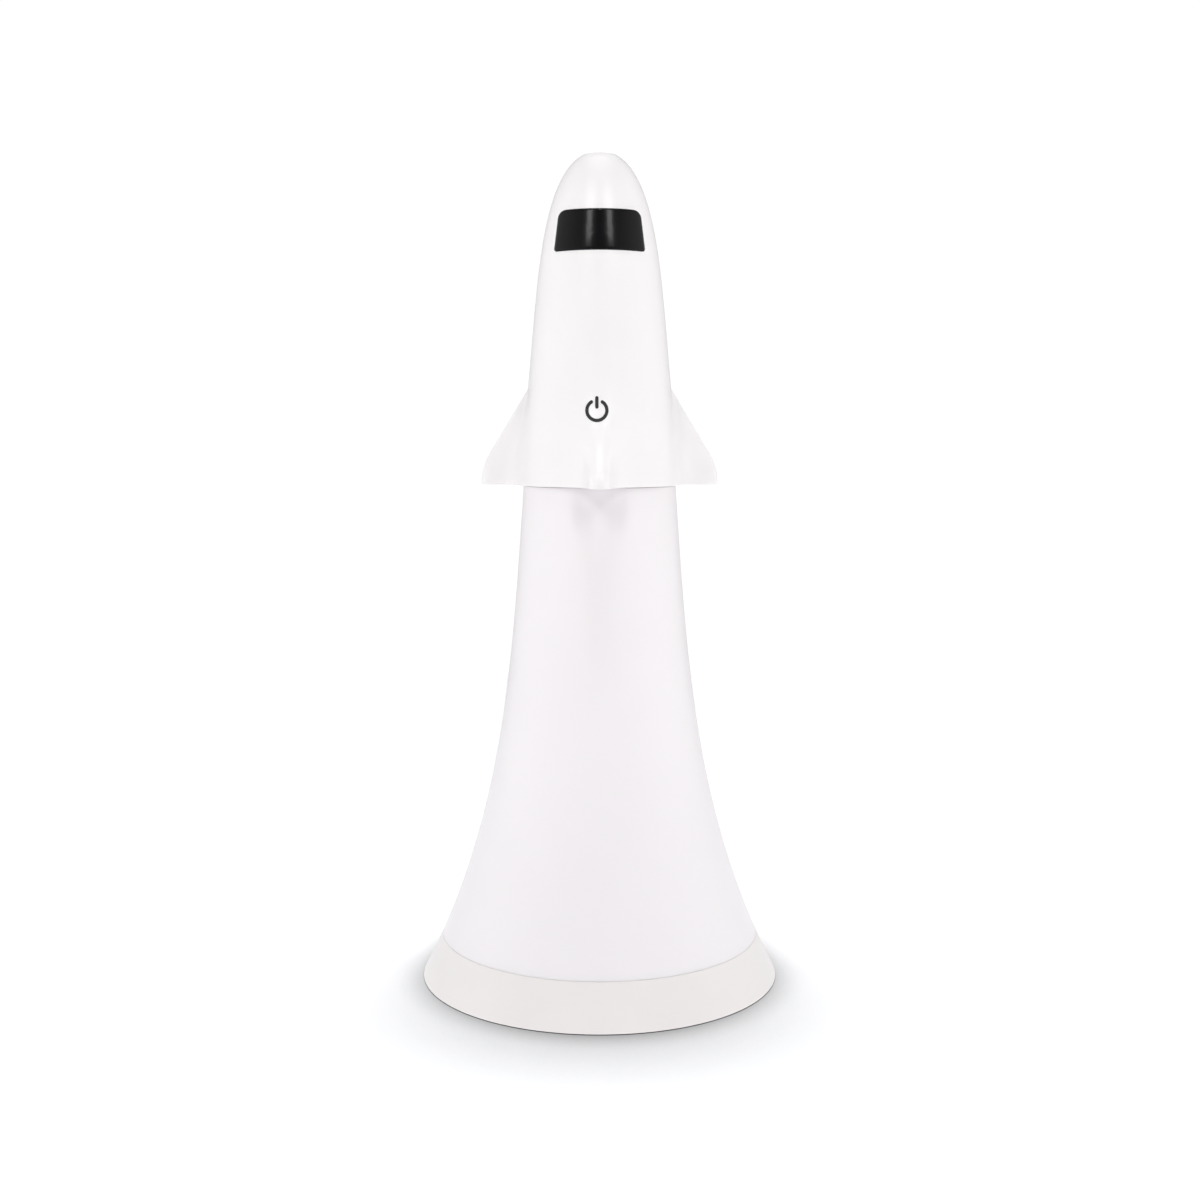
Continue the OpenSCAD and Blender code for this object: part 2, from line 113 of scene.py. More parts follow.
def add_piece(name, mesh, body, material, nodes=(), angle=38):
    """A piece from a finished mesh, shaded smooth where its faces meet below the angle, in degrees."""
    mesh.shade_smooth()
    mesh.set_sharp_from_angle(angle=math.radians(angle))
    piece = bpy.data.objects.new(name, mesh)
    bpy.context.scene.collection.objects.link(piece)
    mesh.materials.append(material)
    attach(piece, body)
    if nodes:
        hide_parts(*nodes)
    return piece


def arc(cx, cy, r, a0, a1, steps):
    """Points on a circle from angle a0 to angle a1, in degrees."""
    return [(cx + r * math.cos(math.radians(a0 + (a1 - a0) * i / steps)),
             cy + r * math.sin(math.radians(a0 + (a1 - a0) * i / steps))) for i in range(steps + 1)]


def rounded(points, steps=5):
    """Rounds the corners of a closed profile. Each point is (x, y) or (x, y, radius)."""
    out = []
    n = len(points)
    for i, p in enumerate(points):
        radius = p[2] if len(p) > 2 else 0
        if radius <= 0:
            out.append((p[0], p[1]))
            continue
        here = np.array(p[:2], float)
        to_before = np.array(points[i - 1][:2], float) - here
        to_after = np.array(points[(i + 1) % n][:2], float) - here
        room = 0.49 * min(np.linalg.norm(to_before), np.linalg.norm(to_after))
        a, b = to_before / np.linalg.norm(to_before), to_after / np.linalg.norm(to_after)
        half = math.acos(max(-1.0, min(1.0, float(a @ b)))) / 2
        reach = radius / math.tan(half)
        if reach > room:
            radius, reach = radius * room / reach, room
        middle = here + (a + b) / np.linalg.norm(a + b) * radius / math.sin(half)
        start, end = here + a * reach - middle, here + b * reach - middle
        a0 = math.atan2(start[1], start[0])
        turn = (math.atan2(end[1], end[0]) - a0 + math.pi) % (2 * math.pi) - math.pi
        out += [(middle[0] + radius * math.cos(a0 + turn * k / steps),
                 middle[1] + radius * math.sin(a0 + turn * k / steps)) for k in range(steps + 1)]
    return out


def lathe(profile, segments=144):
    """Points and faces of a closed profile of (radius, z) turned about +Z."""
    verts, faces = [], []
    n = len(profile)
    for s in range(segments):
        a = 2 * math.pi * s / segments
        verts += [(r * math.cos(a), r * math.sin(a), z) for r, z in profile]
    for s in range(segments):
        t = (s + 1) % segments
        for i in range(n):
            j = (i + 1) % n
            if profile[i][0] < 1e-6 and profile[j][0] < 1e-6:
                continue
            faces.append((s * n + i, t * n + i, t * n + j, s * n + j))
    return verts, faces


def join(*parts):
    """Several (points, faces) pairs as one."""
    verts, faces = [], []
    for v, f in parts:
        base = len(verts)
        verts += list(v)
        faces += [tuple(base + i for i in face) for face in f]
    return verts, faces


def turned(name, points, body, slot, material, nodes=(), segments=144, more=()):
    """A turned piece from a profile whose corners are rounded."""
    return make_mesh(name, *join(lathe(rounded(points), segments), *more), body, slot, material, nodes)


def sweep(points, r, side=(0, 0, 1)):
    """Points and faces of a round wire along a path that never runs along side."""
    sides = 12
    p = np.array(points, float)
    ahead = np.gradient(p, axis=0)
    ahead /= np.linalg.norm(ahead, axis=1)[:, None]
    u = np.cross(ahead, np.array(side, float))
    u /= np.linalg.norm(u, axis=1)[:, None]
    v = np.cross(ahead, u)
    verts, faces = [], []
    for i in range(len(p)):
        for k in range(sides):
            a = 2 * math.pi * k / sides
            verts.append(tuple(p[i] + r * (math.cos(a) * u[i] + math.sin(a) * v[i])))
    for i in range(len(p) - 1):
        for k in range(sides):
            a, b = i * sides + k, i * sides + (k + 1) % sides
            faces.append((a, b, b + sides, a + sides))
    faces.append(tuple(range(sides)))
    faces.append(tuple(reversed(range((len(p) - 1) * sides, len(p) * sides))))
    return verts, faces


def smooth_path(points, per_step):
    """A Catmull-Rom curve through the points."""
    p = np.array(points, float)
    p = np.vstack([2 * p[0] - p[1], p, 2 * p[-1] - p[-2]])
    out = []
    for i in range(1, len(p) - 2):
        for k in range(per_step):
            t = k / per_step
            out.append(0.5 * (2 * p[i] + (p[i + 1] - p[i - 1]) * t
                              + (2 * p[i - 1] - 5 * p[i] + 4 * p[i + 1] - p[i + 2]) * t * t
                              + (3 * p[i] - p[i - 1] - 3 * p[i + 1] + p[i + 2]) * t ** 3))
    out.append(p[-2])
    return out


def helix(r0, r1, height, turns):
    """A coil that climbs +Z while its radius goes from r0 to r1."""
    per_turn = 40
    steps = turns * per_turn
    return [((r0 + (r1 - r0) * i / steps) * math.cos(2 * math.pi * i / per_turn),
             (r0 + (r1 - r0) * i / steps) * math.sin(2 * math.pi * i / per_turn),
             height * i / steps) for i in range(steps + 1)]


def prism_faces(n):
    """Faces of a prism whose points are one end of n points and then the other."""
    sides = [(k, (k + 1) % n, n + (k + 1) % n, n + k) for k in range(n)]
    return sides + [tuple(reversed(range(n))), tuple(range(n, 2 * n))]


def last_inside(inside, count, limit, halvings):
    """How far each of count rays gets before inside turns false, found by halving."""
    low, high = np.zeros(count), np.full(count, limit)
    for _ in range(halvings):
        mid = (low + high) / 2
        held = inside(mid)
        low, high = np.where(held, mid, low), np.where(held, high, mid)
    return low


# ---------- materials ----------

def material(name, colour, roughness, *, vary=0.03, patch=0.012, grain=0.0003, bump=0.05, rough_vary=0.08,
             metallic=0.0, coat=0.0, coat_roughness=0.1, subsurface=0.0, scatter=(1, 1, 1), reach=0.002,
             transmission=0.0, ior=1.5, stretch=(1, 1, 1), tint=None, specular=0.5):
    """A surface whose colour drifts over patches, with fine grain in its roughness and bump."""
    m = bpy.data.materials.new(name)
    m.use_nodes = True
    nodes, links = m.node_tree.nodes, m.node_tree.links
    shader = nodes["Principled BSDF"]
    place = nodes.new("ShaderNodeTexCoord")
    spread = nodes.new("ShaderNodeMapping")
    spread.inputs["Scale"].default_value = stretch
    links.new(place.outputs["Object"], spread.inputs["Vector"])

    def noise(size, detail=2.0):
        n = nodes.new("ShaderNodeTexNoise")
        n.inputs["Scale"].default_value = 1 / size
        n.inputs["Detail"].default_value = detail
        links.new(spread.outputs["Vector"], n.inputs["Vector"])
        return n

    clouds, fine = noise(patch, 3), noise(grain)
    ramp = nodes.new("ShaderNodeValToRGB")
    low = tint or tuple(c * (1 - vary) for c in colour)
    ramp.color_ramp.elements[0].position = 0.35
    ramp.color_ramp.elements[1].position = 0.65
    ramp.color_ramp.elements[0].color = (*low, 1)
    ramp.color_ramp.elements[1].color = (*colour, 1)
    links.new(clouds.outputs["Fac"], ramp.inputs["Fac"])
    links.new(ramp.outputs["Color"], shader.inputs["Base Color"])
    span = nodes.new("ShaderNodeMapRange")
    span.inputs["To Min"].default_value = max(0.0, roughness - rough_vary / 2)
    span.inputs["To Max"].default_value = min(1.0, roughness + rough_vary / 2)
    links.new(fine.outputs["Fac"], span.inputs["Value"])
    links.new(span.outputs["Result"], shader.inputs["Roughness"])
    relief = nodes.new("ShaderNodeBump")
    relief.inputs["Strength"].default_value = bump
    relief.inputs["Distance"].default_value = grain * 0.2
    links.new(fine.outputs["Fac"], relief.inputs["Height"])
    links.new(relief.outputs["Normal"], shader.inputs["Normal"])
    shader.inputs["Metallic"].default_value = metallic
    shader.inputs["Coat Weight"].default_value = coat
    shader.inputs["Coat Roughness"].default_value = coat_roughness
    shader.inputs["Subsurface Weight"].default_value = subsurface
    shader.inputs["Subsurface Radius"].default_value = scatter
    shader.inputs["Subsurface Scale"].default_value = reach
    shader.inputs["Transmission Weight"].default_value = transmission
    shader.inputs["IOR"].default_value = ior
    shader.inputs["Specular IOR Level"].default_value = specular
    return m


WHITE = material("white_abs", (0.882, 0.857, 0.861), 0.34, vary=0.012, grain=0.00025, bump=0.05,
                 subsurface=0.15, scatter=(1, 0.9, 0.8), reach=0.0012)
BAND = material("white_band", (0.82, 0.785, 0.775), 0.40, vary=0.012, grain=0.00025, bump=0.06,
                subsurface=0.1, scatter=(1, 0.9, 0.8), reach=0.001)
OPAL = material("opal_tank", (0.868, 0.834, 0.852), 0.36, vary=0.012, patch=0.03, grain=0.0004, bump=0.03,
                subsurface=0.25, scatter=(1, 0.95, 1), reach=0.002)
INNER = material("inner_abs", (0.80, 0.79, 0.78), 0.5, vary=0.02, grain=0.0002, bump=0.12)
GREY = material("grey_abs", (0.40, 0.41, 0.43), 0.5, vary=0.04, bump=0.12)
TUBE = material("tube_pp", (0.78, 0.79, 0.81), 0.32, vary=0.02, subsurface=0.3, reach=0.002)
CLEAR = material("clear_ring", (0.93, 0.95, 0.97), 0.12, vary=0.01, transmission=0.85, ior=1.49, bump=0.02)
GLOSS = material("black_gloss", (0.006, 0.0055, 0.0065), 0.2, vary=0.3, patch=0.02, grain=0.0006, bump=0.02,
                 rough_vary=0.04, coat=0.05, coat_roughness=0.08, specular=0.13)
PRINT = material("black_ink", (0.013, 0.012, 0.012), 0.6, vary=0.35, patch=0.0006, grain=0.00006, bump=0.25)
BLACK = material("black_abs", (0.02, 0.02, 0.022), 0.45, vary=0.3, bump=0.1)
RUBBER = material("foot_rubber", (0.09, 0.09, 0.095), 0.75, vary=0.2, patch=0.004, grain=0.0002, bump=0.3)
SILICONE = material("silicone", (0.72, 0.72, 0.71), 0.42, vary=0.03, subsurface=0.4, reach=0.002, bump=0.05)
STEEL = material("steel", (0.62, 0.62, 0.63), 0.3, vary=0.1, patch=0.0015, grain=0.00015, bump=0.15,
                 metallic=1.0, rough_vary=0.16)
BRASS = material("brass", (0.74, 0.55, 0.24), 0.28, vary=0.15, patch=0.001, grain=0.0001, bump=0.1,
                 metallic=1.0)
CERAMIC = material("piezo_ceramic", (0.75, 0.70, 0.57), 0.7, vary=0.08, patch=0.0008, grain=0.00008, bump=0.2)
FERRITE = material("ferrite", (0.10, 0.10, 0.105), 0.65, vary=0.25, patch=0.0006, grain=0.0001, bump=0.3)
TAN = material("capacitor_tan", (0.42, 0.29, 0.17), 0.5, vary=0.12, patch=0.0005, grain=0.0001)
LED = material("led_lens", (0.86, 0.82, 0.58), 0.25, vary=0.06, patch=0.0006, subsurface=0.4, reach=0.001)
BOARD = material("board_lacquer", (0.02, 0.17, 0.07), 0.28, vary=0.35, patch=0.0009, grain=0.0002, bump=0.2,
                 coat=0.3)
CREAM = material("connector_nylon", (0.78, 0.75, 0.67), 0.45, vary=0.03)
RED = material("red_sleeve", (0.45, 0.025, 0.02), 0.4, vary=0.15, patch=0.001)
WIRE = material("grey_sleeve", (0.12, 0.12, 0.125), 0.4, vary=0.15, patch=0.001)
COTTON = material("cotton", (0.86, 0.83, 0.76), 0.95, vary=0.14, patch=0.0012, grain=0.0003, bump=0.9,
                  stretch=(1, 1, 0.12), specular=0.15)
FLOOR = material("studio_floor", (0.93, 0.93, 0.935), 0.7, vary=0.004, patch=0.2, grain=0.004, bump=0.0,
                 specular=0.1)


def maths(tree, operation, *values):
    """The result of a math node whose inputs are numbers or other nodes' results."""
    node = tree.nodes.new("ShaderNodeMath")
    node.operation = operation
    for socket, value in zip(node.inputs, values):
        if isinstance(value, (int, float)):
            socket.default_value = value
        else:
            tree.links.new(value, socket)
    return node.outputs["Value"]


def paint_floor_shadow(m, contact, cast, tilt, glow):
    """Paints a shadow into a floor's colour and glow round what stands on it, in the camera's view only.

    The painted shade reaches contact metres all round and cast metres to the front, where its rays lean back
    by tilt degrees. The floor also gives off its own colour, painted shade included, at the strength of glow.
    """
    tree = m.node_tree
    nodes, links = tree.nodes, tree.links
    shader = nodes["Principled BSDF"]

    def open_share(reach, lean):
        facing = nodes.new("ShaderNodeCombineXYZ")
        facing.inputs["Y"].default_value = math.sin(math.radians(lean))
        facing.inputs["Z"].default_value = math.cos(math.radians(lean))
        near = nodes.new("ShaderNodeAmbientOcclusion")
        near.inputs["Distance"].default_value = reach
        near.samples = 24
        links.new(facing.outputs["Vector"], near.inputs["Normal"])
        return near.outputs["AO"]

    # light that bounces off the floor stays whole
    bounced = maths(tree, "SUBTRACT", 1.0, nodes.new("ShaderNodeLightPath").outputs["Is Camera Ray"])
    # painted shadow: ambient occlusion darkens the floor's colour and glow near what stands on it
    seen = maths(tree, "MULTIPLY", open_share(contact, 0), open_share(cast, tilt))
    share = maths(tree, "MAXIMUM", seen, bounced)
    painted_shadow = nodes.new("ShaderNodeMix")
    painted_shadow.data_type = "RGBA"
    painted_shadow.inputs["A"].default_value = (0, 0, 0, 1)
    links.new(share, painted_shadow.inputs["Factor"])
    links.new(shader.inputs["Base Color"].links[0].from_socket, painted_shadow.inputs["B"])
    links.new(painted_shadow.outputs["Result"], shader.inputs["Base Color"])
    links.new(painted_shadow.outputs["Result"], shader.inputs["Emission Color"])
    shader.inputs["Emission Strength"].default_value = glow


# paints the contact shadow into the floor's colour and glow
paint_floor_shadow(FLOOR, contact=0.010, cast=0.06, tilt=60, glow=0.35)


# ---------- shuttle shell ----------

WING_Y, WING_HALF, WING_SPAN = 5.0, 2.2, 30.17
FIN_HALF, FIN_REACH = 2.6, 29.97
WING_EDGE = ((13.45, 158.3), (29.93, 131.0))    # leading edge, at the middle of its rounding
FIN_SLOPE_SUM = 159.4                            # distance from the axis plus height along the fin's slope
FIN_BLEND = 8.0


def smooth_min(a, b, k):
    h = np.clip(k - np.abs(a - b), 0, None) / k
    return np.minimum(a, b) - h * h * k / 4


def round_corner_of(a, b, r):
    """Distance to the inside of two edges whose corner is rounded."""
    return np.minimum(-r, np.maximum(a, b)) + np.hypot(np.maximum(a + r, 0), np.maximum(b + r, 0))


def plate(edge, across, half, r, thinning=1.0):
    """A plate with rounded edges; thinning over 1 draws the rounding out over that many times its depth."""
    a, b = edge / thinning + r, np.abs(across) - half + r
    return np.minimum(np.maximum(a, b), 0) + np.hypot(np.maximum(a, 0), np.maximum(b, 0)) - r


def hull_distance(x, y, z):
    """Negative inside the shuttle's outer surface, in millimetres."""
    body = np.hypot(x, y) - fuselage_r(NOSE_Z - z)
    (x0, z0), (x1, z1) = WING_EDGE
    length = math.hypot(x1 - x0, z1 - z0)
    nx, nz = (z0 - z1) / length, (x1 - x0) / length
    lead = (np.abs(x) - x0) * nx + (z - z0) * nz
    wing = plate(round_corner_of(lead, np.abs(x) - WING_SPAN, 1.8), y - WING_Y, WING_HALF, 2.1, 2.2)
    slope = (-y + z - FIN_SLOPE_SUM) / math.sqrt(2)
    outline = np.maximum(round_corner_of(slope, -y - FIN_REACH, 1.6), y + 8)
    fin = plate(outline, x, FIN_HALF, FIN_HALF - 0.15)
    reach = np.minimum(WING_SPAN, x0 + (x1 - x0) * (z0 - z) / (z0 - z1))
    fillet = np.clip(0.9 * (reach - fuselage_r(NOSE_Z - z)), 1.2, 8.0)    # small where the wing is narrow
    return smooth_min(smooth_min(body, wing, fillet), fin, FIN_BLEND)


def hull_rays(z):
    """(x, y, dx, dy) of rays in the XY plane that leave the hull once each, in order round it."""
    r = float(fuselage_r(NOSE_Z - z))
    (x0, z0), (x1, z1) = WING_EDGE
    reach = min(WING_SPAN, x0 + (x1 - x0) * (z0 - z) / (z0 - z1)) - WING_HALF - 0.3

    def soft_max(a, b, k=1.5):
        h = max(k - abs(a - b), 0) / k
        return max(a, b) + h * h * k / 4

    wing_y = min(WING_Y, 0.27 * r)
    tip_x = soft_max(0.80 * r, reach)
    tip_y = soft_max(0.80 * r, min(FIN_REACH, FIN_SLOPE_SUM - z) - FIN_HALF - 0.6)
    rays = []
    for i in range(14):
        a = math.radians(-90 + 90 * i / 14)
        rays.append((0, -tip_y, math.cos(a), math.sin(a)))
    rays += [(0, -(tip_y + (0.70 * r - tip_y) * i / 22), 1, 0) for i in range(23)]
    rays += [(0.74 * r + (tip_x - 0.74 * r) * i / 24, wing_y, 0, -1) for i in range(24)]
    for i in range(26):
        a = math.radians(-90 + 180 * i / 26)
        rays.append((tip_x, wing_y, math.cos(a), math.sin(a)))
    rays += [(tip_x + (0.74 * r - tip_x) * i / 24, wing_y, 0, 1) for i in range(24)]
    rays += [(0.74 * r * math.cos(math.radians(90 * i / 34)), wing_y, 0, 1) for i in range(34)]
    mirrored = [(-x, y, -dx, dy) for x, y, dx, dy in rays]
    return np.array(rays + [(0, wing_y, 0, 1)] + mirrored[:0:-1])


def hull_rows():
    """(height, inset) of each ring of the hull, from the rounded lower rim to the nose."""
    rim = 0.15
    rows = [(SKIRT_Z + rim * (1 - math.cos(a)), rim * (1 - math.sin(a)))
            for a in np.radians(np.linspace(0, 90, 6))]
    rows += [(z, 0.0) for z in np.arange(SKIRT_Z + rim + 0.4, SKIRT_Z + 36, 0.7)]
    start = NOSE_Z - rows[-1][0] - 1.2
    steps = 62
    rows += [(NOSE_Z - d, 0.0) for d in 0.8 + (start - 0.8) * np.linspace(1, 0, steps) ** 1.7]
    return rows


def hull_ring(z, inset):
    """Points round the hull at height z, at a depth of inset under its surface."""
    x, y, dx, dy = hull_rays(z).T
    out = last_inside(lambda t: hull_distance(x + dx * t, y + dy * t, z) < -inset, len(x), 45.0, 44)
    return [(float(px), float(py), float(z)) for px, py in zip(x + dx * out, y + dy * out)]


def build_shell():
    """The hull as one closed skin: its outside up to the outlet, and the hollow down to its lower rim."""
    rings = [hull_ring(z, inset) for z, inset in hull_rows()]
    count = len(rings[0])
    angles = [math.atan2(p[1], p[0]) for p in rings[-1]]

    def circle(r, z):
        return [(r * math.cos(a), r * math.sin(a), z) for a in angles]

    hole = OUTLET_R + 0.7
    top = NOSE_Z - 0.75
    rings += [circle(hole + 0.05, top + 0.03), circle(hole, top), circle(hole, NOSE_Z - 4)]
    for depth in 4 + (NOSE_Z - PLATE_TOP_Z - 4.1) * np.linspace(0, 1, 36) ** 1.5:
        rings.append(circle(float(cavity_r(depth)), NOSE_Z - depth))
    ledge = PLATE_TOP_Z + 0.1
    rings += [circle(SKIRT_BORE_R, ledge), circle(SKIRT_BORE_R, SKIRT_Z + 0.3),
              circle(SKIRT_BORE_R + 0.3, SKIRT_Z)]
    bm = bmesh.new()
    grid = [[bm.verts.new([c * MM for c in p]) for p in ring] for ring in rings]
    for low, high in zip(grid, grid[1:]):
        for k in range(count):
            n = (k + 1) % count
            bm.faces.new((low[k], low[n], high[n], high[k]))
    bm.edges.ensure_lookup_table()
    loops = []
    for ring in (grid[0], grid[-1]):
        for k in range(count):
            ends = (ring[k], ring[(k + 1) % count])
            loops.append(bm.edges.get(ends) or bm.edges.new(ends))
    bmesh.ops.triangle_fill(bm, use_beauty=True, edges=loops, normal=(0, 0, -1))
    bmesh.ops.recalc_face_normals(bm, faces=bm.faces)
    mesh = bpy.data.meshes.new("hull")
    bm.to_mesh(mesh)
    bm.free()
    return mesh


def slot_solid(w, h, y0, y1, z):
    """Points and faces of a solid slot with round ends that runs along Y."""
    r = h / 2
    outline = arc((w - h) / 2, 0, r, -90, 90, 14) + arc(-(w - h) / 2, 0, r, 90, 270, 14)
    return [(x, y, z + dz) for y in (y0, y1) for x, dz in outline], prism_faces(len(outline))


def cut(mesh, *solids):
    """The mesh with solids taken out of it."""
    target = bpy.data.objects.new("target", mesh)
    bpy.context.scene.collection.objects.link(target)
    cutters = []
    for verts, faces in solids:
        tool = bpy.data.meshes.new("tool")
        tool.from_pydata([tuple(c * MM for c in v) for v in verts], [], faces)
        o = bpy.data.objects.new("tool", tool)
        bpy.context.scene.collection.objects.link(o)
        cutters.append(o)
        m = target.modifiers.new("cut", "BOOLEAN")
        m.object, m.operation, m.solver = o, "DIFFERENCE", "EXACT"
    bpy.context.view_layer.update()
    evaluated = target.evaluated_get(bpy.context.evaluated_depsgraph_get())
    result = bpy.data.meshes.new_from_object(evaluated)
    for o in (target, *cutters):
        bpy.data.objects.remove(o)
    return result


def box_solid(low, high, chamfer):
    """A block with chamfered edges along Z."""
    (x0, y0, z0), (x1, y1, z1) = low, high
    c = chamfer
    outline = [(x0 + c, y0), (x1 - c, y0), (x1, y0 + c), (x1, y1 - c),
               (x1 - c, y1), (x0 + c, y1), (x0, y1 - c), (x0, y0 + c)]
    return [(x, y, z) for z in (z0, z1) for x, y in outline], prism_faces(len(outline))


def moved(part, angle, outwards=0.0):
    """Points and faces shifted along +X and then turned about +Z by an angle in degrees."""
    ca, sa = math.cos(math.radians(angle)), math.sin(math.radians(angle))
    verts = [((x + outwards) * ca - y * sa, (x + outwards) * sa + y * ca, z) for x, y, z in part[0]]
    return verts, part[1]


shell_mesh = cut(build_shell(), slot_solid(9.6, 3.9, 13, 21, PORT_Z),      # socket
                 slot_solid(12.6, 6.8, 17.1, 21, PORT_Z))                  # recess for the plug
add_piece("shuttle_shell_skin", shell_mesh, "shuttle", WHITE, ["shuttle_shell"], 42)

posts = []
for a in SCREW_ANGLES:
    z0, z1 = PLATE_TOP_Z + 0.05, PLATE_TOP_Z + 8.65
    tube = lathe(rounded([(1.05, z0), (2.2, z0, 0.2), (2.2, z1, 0.2), (1.05, z1, 0.1)], 3), 32)
    rib = box_solid((1.9, -0.7, z0 + 3.6), (17.2 - RING_MID_R, 0.7, z1), 0.15)
    posts += [moved(tube, a, RING_MID_R), moved(rib, a, RING_MID_R)]
make_mesh("shuttle_posts", *join(*posts), "shuttle", "white_plastic", WHITE)


# ---------- windshield and power symbol ----------

def on_hull(points, lift):
    """The points of the hull's front at each (x, z), lifted off it."""
    x, z = np.array(points, float).T
    y = -last_inside(lambda t: hull_distance(x, -t, z) < lift, len(x), 40.0, 40)
    return [(float(a), float(b), float(c)) for a, b, c in zip(x, y, z)]


def inset_outline(points, distance):
    """A convex outline moved inwards, each point along its own normal."""
    p = np.array(points)
    along = np.roll(p, -1, 0) - np.roll(p, 1, 0)
    along /= np.linalg.norm(along, axis=1)[:, None]
    return p + distance * np.stack([-along[:, 1], along[:, 0]], 1)


def resample(points, step):
    """A closed outline with points no further apart than step."""
    out = []
    for (x0, y0), (x1, y1) in zip(points, points[1:] + points[:1]):
        n = max(1, math.ceil(math.hypot(x1 - x0, y1 - y0) / step))
        out += [(x0 + (x1 - x0) * k / n, y0 + (y1 - y0) * k / n) for k in range(n)]
    return out


outline = resample(rounded([
    (-WINDOW_LOW_W, WINDOW_Z, 0.8), (WINDOW_LOW_W, WINDOW_Z, 0.8),
    (WINDOW_TOP_W, WINDOW_Z + WINDOW_H, 2.1), (-WINDOW_TOP_W, WINDOW_Z + WINDOW_H, 2.1)], 8), 0.4)
proud, edge_r = 0.28, 0.55
layers = [(outline, -1.0)]
for a in np.radians(np.linspace(0, 90, 7)):
    layers.append((inset_outline(outline, edge_r * (1 - math.cos(a))), proud - edge_r * (1 - math.sin(a))))
inner = np.array(layers[-1][0])
heart = np.array([0, WINDOW_Z + WINDOW_H / 2])
for share in (0.9, 0.75, 0.6, 0.45, 0.3, 0.15, 0.04):
    layers.append((heart + (inner - heart) * share, proud))
verts, faces = [], []
count = len(outline)
for points, lift in layers:
    verts += on_hull(points, lift)
for i in range(len(layers) - 1):
    faces += [(i * count + k, i * count + (k + 1) % count,
               (i + 1) * count + (k + 1) % count, (i + 1) * count + k) for k in range(count)]
faces.append(tuple(range((len(layers) - 1) * count, len(layers) * count)))
faces.append(tuple(reversed(range(count))))
make_mesh("windshield_lens", verts, faces, "shuttle", "black_gloss", GLOSS, ["windshield"], 60)


def print_patch(outer, inner_line):
    """A thin printed strip on the hull between two lines of as many points, closed at its ends."""
    strip = []
    across = 4
    rows = [[(a[0] + (b[0] - a[0]) * k / across, a[1] + (b[1] - a[1]) * k / across)
             for k in range(across + 1)] for a, b in zip(outer, inner_line)]
    n = across + 1
    places = [(x + ICON_X, z + ICON_Z) for row in rows for x, z in row]
    top, low = on_hull(places, 0.05), on_hull(places, -0.1)
    size = len(top)
    for i in range(len(rows) - 1):
        for k in range(across):
            a, b, c, d = i * n + k, i * n + k + 1, (i + 1) * n + k + 1, (i + 1) * n + k
            strip += [(a, b, c, d), (d + size, c + size, b + size, a + size)]
        for k in (0, across):
            a, d = i * n + k, (i + 1) * n + k
            strip.append((a, d, d + size, a + size))
    for i in (0, len(rows) - 1):
        for k in range(across):
            a, b = i * n + k, i * n + k + 1
            strip.append((a, a + size, b + size, b))
    return top + low, strip


def icon():
    """Power symbol: an open ring with round ends, and a bar in its gap."""
    mid, half, gap = 2.4, 0.4, 33           # the ring's radius, half its stroke, half its gap in degrees
    right, left = 90 - gap, 90 + gap - 360
    cap = math.degrees(half / mid)
    turns = [math.radians(90 * k / 8) for k in range(9)]
    stations = [(right + cap * math.cos(t), half * math.sin(t)) for t in turns]
    stations += [(right + (left - right) * k / 72, half) for k in range(1, 72)]
    stations += [(left - cap * math.cos(t), half * math.sin(t)) for t in reversed(turns)]

    def ring_line(side):
        return [((mid + side * w) * math.cos(math.radians(a)), (mid + side * w) * math.sin(math.radians(a)))
                for a, w in stations]

    low, top = 0.8, 3.0
    turns = [math.radians(t) for t in range(0, 91, 10)]
    bar_right = [(half * math.sin(t), low - half * math.cos(t)) for t in turns]
    bar_right += [(half * math.cos(t), top + half * math.sin(t)) for t in turns]
    bar_left = [(-x, z) for x, z in bar_right]
    return join(print_patch(ring_line(1), ring_line(-1)), print_patch(bar_right, bar_left))


make_mesh("power_symbol", *icon(), "shuttle", "black_print", PRINT, ["power_icon"], 60)


# ---------- tank and base ----------

def flare(low, high, steps, inwards=0.0):
    """Profile points of the flared outline between two heights, moved inwards."""
    return [(flare_r(low + (high - low) * i / steps) - inwards, low + (high - low) * i / steps)
            for i in range(steps + 1)]


seam = 0.03
shoulder = SKIRT_Z - 0.12
turned("tank_opal", [
    (36.6, 6.4, 0.3), (38.2, 6.4, 0.4), (38.2, SEAM_Z + seam, 0.2),
    (flare_r(SEAM_Z), SEAM_Z + seam, 0.08), *flare(SEAM_Z + 0.3, TANK_TOP_Z - 0.5, 110),
    (TANK_TOP_R, shoulder, 0.12), (NECK_R, shoulder, 0.3), (NECK_R, NECK_TOP_Z, 0.5),
    (NECK_BORE_R, NECK_TOP_Z, 0.5), (NECK_BORE_R, TANK_TOP_Z - 2.5, 1),
    *flare(14, TANK_TOP_Z - 4.5, 60, 2.0)[::-1], (36.6, 13.4, 0.4)],
    "tank", "opal_plastic", OPAL, ["tank_shell"], 192)

turned("base_dish", [
    (0, 3), (34.6, 3, 0.3), (34.6, 0.8, 0.2), (36, 0.8, 0.2), (36, 2.4), (41, 2.4), (41, 0.2, 0.2),
    (flare_r(0.2) - 0.05, 0.2, 0.15), *flare(0.5, SEAM_Z - 0.3, 20),
    (flare_r(SEAM_Z), SEAM_Z, 0.08), (38.3, SEAM_Z, 0.3), (38.3, 5, 0.3), (0, 5)],
    "tank", "white_plastic", BAND, ["base_cup"], 192)

